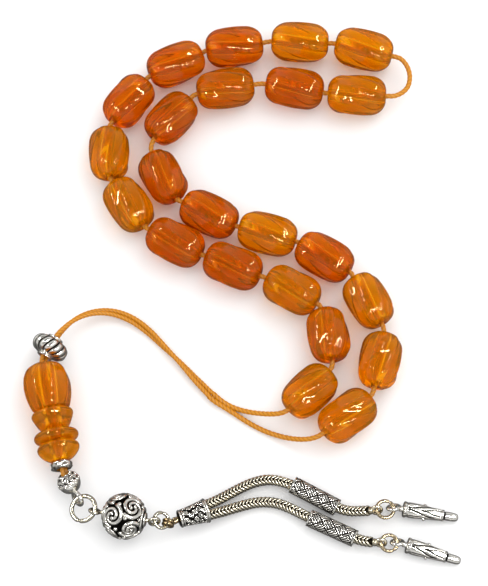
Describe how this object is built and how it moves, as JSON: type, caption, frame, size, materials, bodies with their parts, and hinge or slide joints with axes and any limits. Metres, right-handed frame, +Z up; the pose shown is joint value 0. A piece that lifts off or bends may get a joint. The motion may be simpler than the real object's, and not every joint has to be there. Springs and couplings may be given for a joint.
{
  "type": "prayer beads",
  "caption": "Prayer bead string laid flat: fluted amber beads on a waxed cord, a turned amber head, and a silver tassel of filigree ball, cap, chains and drops.",
  "frame": {"origin": "middle of the laid-out string's footprint, on the plane it lies on", "axes": "+Z up off the table, +Y from the tassel towards the far end of the bead loop, +X to the drops' side"},
  "size_m": [0.107, 0.142, 0.0118],
  "materials": {
    "amber": "polished translucent amber",
    "head_amber": "polished translucent amber, a little lighter",
    "waxed_string": "waxed twisted string",
    "worked_silver": "bright silver with darkened recesses",
    "silver_wire": "polished silver wire",
    "worn_wire": "worn, warm-toned wire",
    "silver_chain": "foxtail chain, slightly tarnished"
  },
  "bodies": {
    "string": {"string_loop": "waxed_string", "string_doubled": "waxed_string", "string_knot": "waxed_string", "ball_cap": "worked_silver"},
    "bead_01": {"bead_01": "amber"},
    "bead_02": {"bead_02": "amber"},
    "bead_03": {"bead_03": "amber"},
    "bead_04": {"bead_04": "amber"},
    "bead_05": {"bead_05": "amber"},
    "bead_06": {"bead_06": "amber"},
    "bead_07": {"bead_07": "amber"},
    "bead_08": {"bead_08": "amber"},
    "bead_09": {"bead_09": "amber"},
    "bead_10": {"bead_10": "amber"},
    "bead_11": {"bead_11": "amber"},
    "bead_12": {"bead_12": "amber"},
    "bead_13": {"bead_13": "amber"},
    "bead_14": {"bead_14": "amber"},
    "bead_15": {"bead_15": "amber"},
    "bead_16": {"bead_16": "amber"},
    "bead_17": {"bead_17": "amber"},
    "bead_18": {"bead_18": "amber"},
    "bead_19": {"bead_19": "amber"},
    "bead_20": {"bead_20": "amber"},
    "bead_21": {"bead_21": "amber"},
    "bead_22": {"bead_22": "amber"},
    "bead_23": {"bead_23": "amber"},
    "rondelle": {"rondelle": "worked_silver"},
    "head_barrel": {"head_barrel": "head_amber"},
    "head_cup": {"head_cup": "head_amber"},
    "head_disc": {"head_disc": "head_amber"},
    "head_bowl": {"head_bowl": "head_amber"},
    "head_spacer": {"head_spacer": "worked_silver"},
    "large_ring": {"large_ring": "silver_wire"},
    "ball_pin": {"ball_pin": "silver_wire"},
    "filigree_ball": {"filigree_ball": "worked_silver"},
    "small_ring": {"small_ring": "silver_wire"},
    "end_cap": {"end_cap": "worked_silver", "cap_loop": "worn_wire", "chain_1": "silver_chain", "chain_2": "silver_chain", "chain_1_end_loop": "silver_wire", "chain_2_end_loop": "silver_wire"},
    "weave_tube_1": {"weave_tube_1": "worked_silver"},
    "end_ring_1": {"end_ring_1": "silver_wire"},
    "drop_1": {"drop_1": "worked_silver"},
    "weave_tube_2": {"weave_tube_2": "worked_silver"},
    "end_ring_2": {"end_ring_2": "silver_wire"},
    "drop_2": {"drop_2": "worked_silver"}
  },
  "joints": [
    {"name": "bead_01_spin", "type": "hinge", "parent": "string", "child": "bead_01", "pos_m": [0.03196, 0.06372, 0.0052], "axis": [0.9703, -0.2419, 0], "continuous": true},
    {"name": "bead_02_spin", "type": "hinge", "parent": "string", "child": "bead_02", "pos_m": [0.01546, 0.06582, 0.0052], "axis": [0.9986, -0.0523, 0], "continuous": true},
    {"name": "bead_03_spin", "type": "hinge", "parent": "string", "child": "bead_03", "pos_m": [-0.00154, 0.06452, 0.0052], "axis": [0.9903, 0.1392, 0], "continuous": true},
    {"name": "bead_04_spin", "type": "hinge", "parent": "string", "child": "bead_04", "pos_m": [-0.01664, 0.05962, 0.0052], "axis": [0.9063, 0.4226, 0], "continuous": true},
    {"name": "bead_05_spin", "type": "hinge", "parent": "string", "child": "bead_05", "pos_m": [-0.02864, 0.04922, 0.0052], "axis": [0.5878, 0.809, 0], "continuous": true},
    {"name": "bead_06_spin", "type": "hinge", "parent": "string", "child": "bead_06", "pos_m": [-0.03344, 0.03472, 0.0052], "axis": [-0.0349, 0.9994, 0], "continuous": true},
    {"name": "bead_07_spin", "type": "hinge", "parent": "string", "child": "bead_07", "pos_m": [-0.02824, 0.02072, 0.0052], "axis": [-0.5592, 0.829, 0], "continuous": true},
    {"name": "bead_08_spin", "type": "hinge", "parent": "string", "child": "bead_08", "pos_m": [-0.01634, 0.01052, 0.0052], "axis": [-0.891, 0.454, 0], "continuous": true},
    {"name": "bead_09_spin", "type": "hinge", "parent": "string", "child": "bead_09", "pos_m": [-0.00184, 0.00422, 0.0052], "axis": [-0.9272, 0.3746, 0], "continuous": true},
    {"name": "bead_10_spin", "type": "hinge", "parent": "string", "child": "bead_10", "pos_m": [0.01296, -0.00218, 0.0052], "axis": [-0.8829, 0.4695, 0], "continuous": true},
    {"name": "bead_11_spin", "type": "hinge", "parent": "string", "child": "bead_11", "pos_m": [0.02186, -0.01398, 0.0052], "axis": [-0.1908, 0.9816, 0], "continuous": true},
    {"name": "bead_12_spin", "type": "hinge", "parent": "string", "child": "bead_12", "pos_m": [0.01716, -0.02848, 0.0052], "axis": [0.7193, 0.6947, 0], "continuous": true},
    {"name": "bead_13_spin", "type": "hinge", "parent": "string", "child": "bead_13", "pos_m": [0.02996, 0.05092, 0.0052], "axis": [0.9986, -0.0523, 0], "continuous": true},
    {"name": "bead_14_spin", "type": "hinge", "parent": "string", "child": "bead_14", "pos_m": [0.01396, 0.05292, 0.0052], "axis": [0.9848, -0.1736, 0], "continuous": true},
    {"name": "bead_15_spin", "type": "hinge", "parent": "string", "child": "bead_15", "pos_m": [-0.00384, 0.05272, 0.0052], "axis": [0.9877, 0.1564, 0], "continuous": true},
    {"name": "bead_16_spin", "type": "hinge", "parent": "string", "child": "bead_16", "pos_m": [-0.01774, 0.04442, 0.0052], "axis": [0.6561, 0.7547, 0], "continuous": true},
    {"name": "bead_17_spin", "type": "hinge", "parent": "string", "child": "bead_17", "pos_m": [-0.01964, 0.02822, 0.0052], "axis": [-0.4848, 0.8746, 0], "continuous": true},
    {"name": "bead_18_spin", "type": "hinge", "parent": "string", "child": "bead_18", "pos_m": [-0.00784, 0.01812, 0.0052], "axis": [-0.8988, 0.4384, 0], "continuous": true},
    {"name": "bead_19_spin", "type": "hinge", "parent": "string", "child": "bead_19", "pos_m": [0.00686, 0.01282, 0.0052], "axis": [-0.9659, 0.2588, 0], "continuous": true},
    {"name": "bead_20_spin", "type": "hinge", "parent": "string", "child": "bead_20", "pos_m": [0.02116, 0.00662, 0.0052], "axis": [-0.866, 0.5, 0], "continuous": true},
    {"name": "bead_21_spin", "type": "hinge", "parent": "string", "child": "bead_21", "pos_m": [0.03196, -0.00498, 0.0052], "axis": [-0.5, 0.866, 0], "continuous": true},
    {"name": "bead_22_spin", "type": "hinge", "parent": "string", "child": "bead_22", "pos_m": [0.03456, -0.02058, 0.0052], "axis": [0.1908, 0.9816, 0], "continuous": true},
    {"name": "bead_23_spin", "type": "hinge", "parent": "string", "child": "bead_23", "pos_m": [0.02636, -0.03478, 0.0052], "axis": [0.788, 0.6157, 0], "continuous": true},
    {"name": "rondelle_spin", "type": "hinge", "parent": "string", "child": "rondelle", "pos_m": [-0.04714, -0.01728, 0.0054], "axis": [-0.5, -0.866, 0], "continuous": true},
    {"name": "head_barrel_spin", "type": "hinge", "parent": "string", "child": "head_barrel", "pos_m": [-0.04746, -0.02776, 0.00595], "axis": [0.1959, -0.9806, 0], "continuous": true},
    {"name": "head_cup_spin", "type": "hinge", "parent": "string", "child": "head_cup", "pos_m": [-0.04576, -0.0363, 0.00595], "axis": [0.1959, -0.9806, 0], "continuous": true},
    {"name": "head_disc_spin", "type": "hinge", "parent": "string", "child": "head_disc", "pos_m": [-0.04494, -0.04041, 0.00595], "axis": [0.1959, -0.9806, 0], "continuous": true},
    {"name": "head_bowl_spin", "type": "hinge", "parent": "string", "child": "head_bowl", "pos_m": [-0.04417, -0.04424, 0.00595], "axis": [0.1959, -0.9806, 0], "continuous": true},
    {"name": "head_spacer_spin", "type": "hinge", "parent": "string", "child": "head_spacer", "pos_m": [-0.04349, -0.04767, 0.00595], "axis": [0.1959, -0.9806, 0], "continuous": true},
    {"name": "large_ring_lift", "type": "hinge", "parent": "string", "child": "large_ring", "pos_m": [-0.03954, -0.05532, 0.00375], "axis": [-0.8055, -0.515, -0.2932], "range_deg": [0, 30]},
    {"name": "ball_pin_lift", "type": "hinge", "parent": "large_ring", "child": "ball_pin", "pos_m": [-0.03525, -0.05889, 0.00531], "axis": [-0.2747, -0.9563, -0.1], "range_deg": [0, 30]},
    {"name": "filigree_ball_spin", "type": "hinge", "parent": "ball_pin", "child": "filigree_ball", "pos_m": [-0.02798, -0.06028, 0.00575], "axis": [0.9805, -0.1877, 0.0581], "continuous": true},
    {"name": "small_ring_lift", "type": "hinge", "parent": "ball_pin", "child": "small_ring", "pos_m": [-0.0207, -0.06167, 0.00618], "axis": [0.2346, -0.9659, -0.1094], "range_deg": [0, 30]},
    {"name": "end_cap_lift", "type": "hinge", "parent": "small_ring", "child": "end_cap", "pos_m": [-0.01738, -0.06167, 0.00462], "axis": [-0.2346, -0.9659, 0.1094], "range_deg": [0, 30]},
    {"name": "weave_tube_1_spin", "type": "hinge", "parent": "end_cap", "child": "weave_tube_1", "pos_m": [0.01826, -0.05438, 0.0022], "axis": [0.8805, -0.4741, 0], "continuous": true},
    {"name": "end_ring_1_lift", "type": "hinge", "parent": "end_cap", "child": "end_ring_1", "pos_m": [0.03327, -0.05786, 0.0023], "axis": [0.0872, -0.9962, 0], "range_deg": [0, 30]},
    {"name": "drop_1_lift", "type": "hinge", "parent": "end_ring_1", "child": "drop_1", "pos_m": [0.03741, -0.05724, 0.0023], "axis": [0.2079, -0.9781, 0], "range_deg": [0, 30]},
    {"name": "weave_tube_2_spin", "type": "hinge", "parent": "end_cap", "child": "weave_tube_2", "pos_m": [0.02236, -0.06238, 0.0022], "axis": [0.9048, -0.4258, 0], "continuous": true},
    {"name": "end_ring_2_lift", "type": "hinge", "parent": "end_cap", "child": "end_ring_2", "pos_m": [0.03416, -0.06598, 0.0023], "axis": [-0.0523, -0.9986, 0], "range_deg": [0, 30]},
    {"name": "drop_2_lift", "type": "hinge", "parent": "end_ring_2", "child": "drop_2", "pos_m": [0.03815, -0.06591, 0.0023], "axis": [0.0872, -0.9962, 0], "range_deg": [0, 30]}
  ]
}
